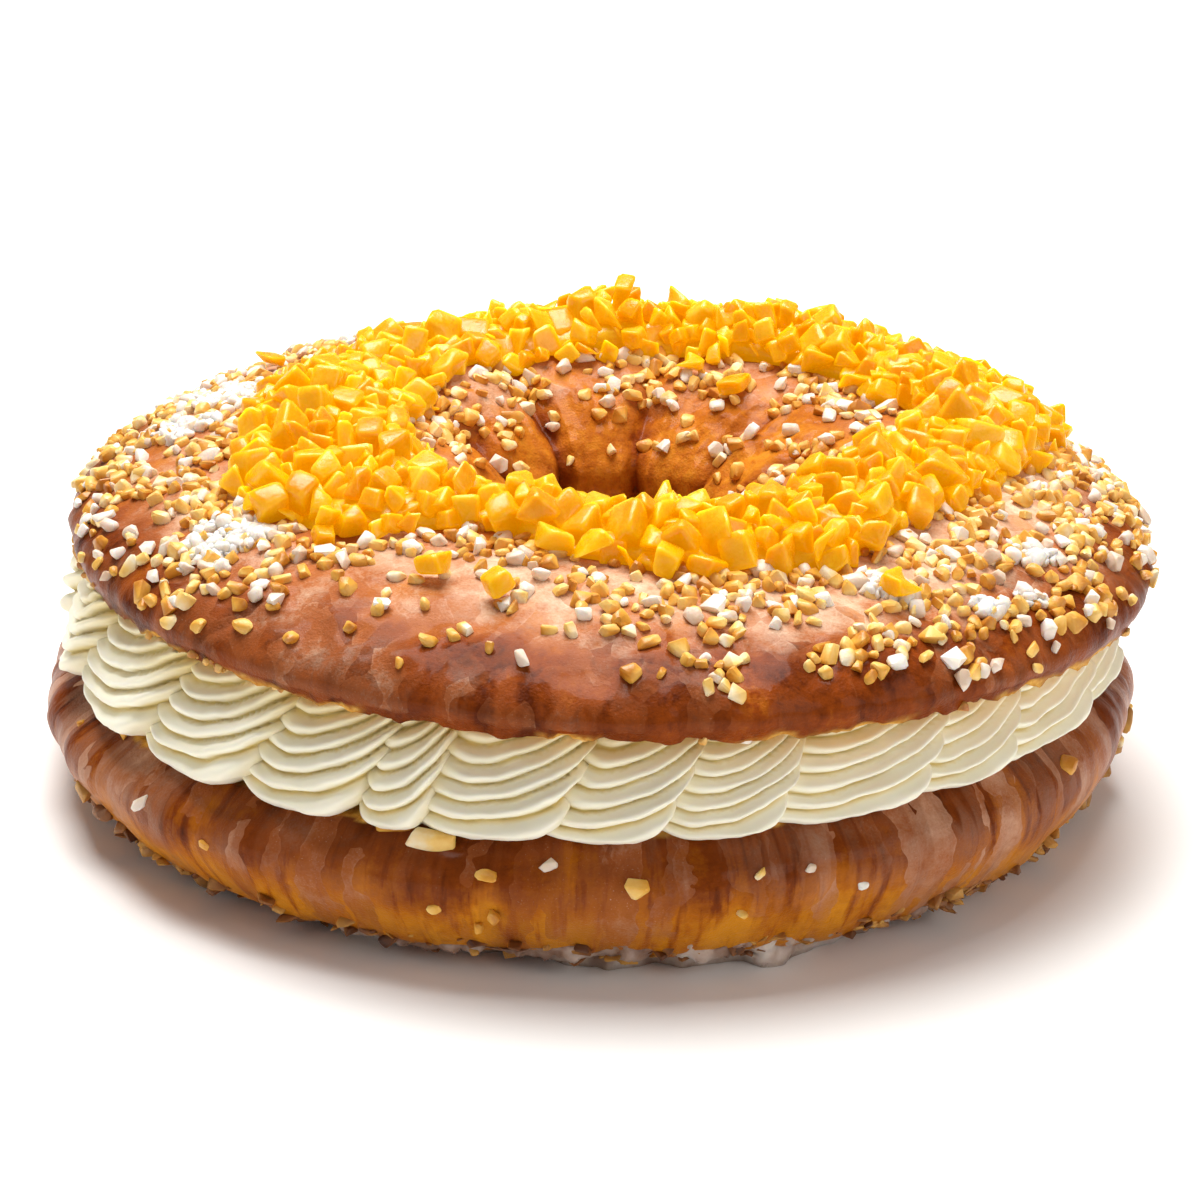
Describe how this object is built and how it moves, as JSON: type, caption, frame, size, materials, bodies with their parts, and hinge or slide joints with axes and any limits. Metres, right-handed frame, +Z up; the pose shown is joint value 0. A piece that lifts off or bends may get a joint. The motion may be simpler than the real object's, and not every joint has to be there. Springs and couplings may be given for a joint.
{
  "type": "king cake",
  "caption": "Ring-shaped brioche king cake, cut level and filled with piped cream, topped with a heap of diced candied orange, chopped almonds and pearl sugar.",
  "frame": {"origin": "on the table, under the middle of the cake", "axes": "+Z up, -Y the front of the picture's view, +X to its right"},
  "size_m": [0.3016, 0.2986, 0.1138],
  "materials": {
    "crust": "baked brioche crust, brown to golden, with a thin glossy sugar glaze",
    "cream": "whipped cream, ivory, soft satin",
    "candied_orange": "candied fruit, amber yellow, translucent and wet with syrup",
    "almond": "chopped toasted almonds, golden tan, dry",
    "sugar": "pearl sugar and set icing, white, slightly translucent"
  },
  "bodies": {
    "root": {"lower_half": "crust", "cream_filling": "cream", "upper_half": "crust", "candied_orange": "candied_orange", "candied_orange_piece_1": "candied_orange", "candied_orange_piece_2": "candied_orange", "candied_orange_piece_3": "candied_orange", "candied_orange_piece_4": "candied_orange", "candied_orange_piece_5": "candied_orange", "candied_orange_piece_6": "candied_orange"}
  },
  "joints": []
}
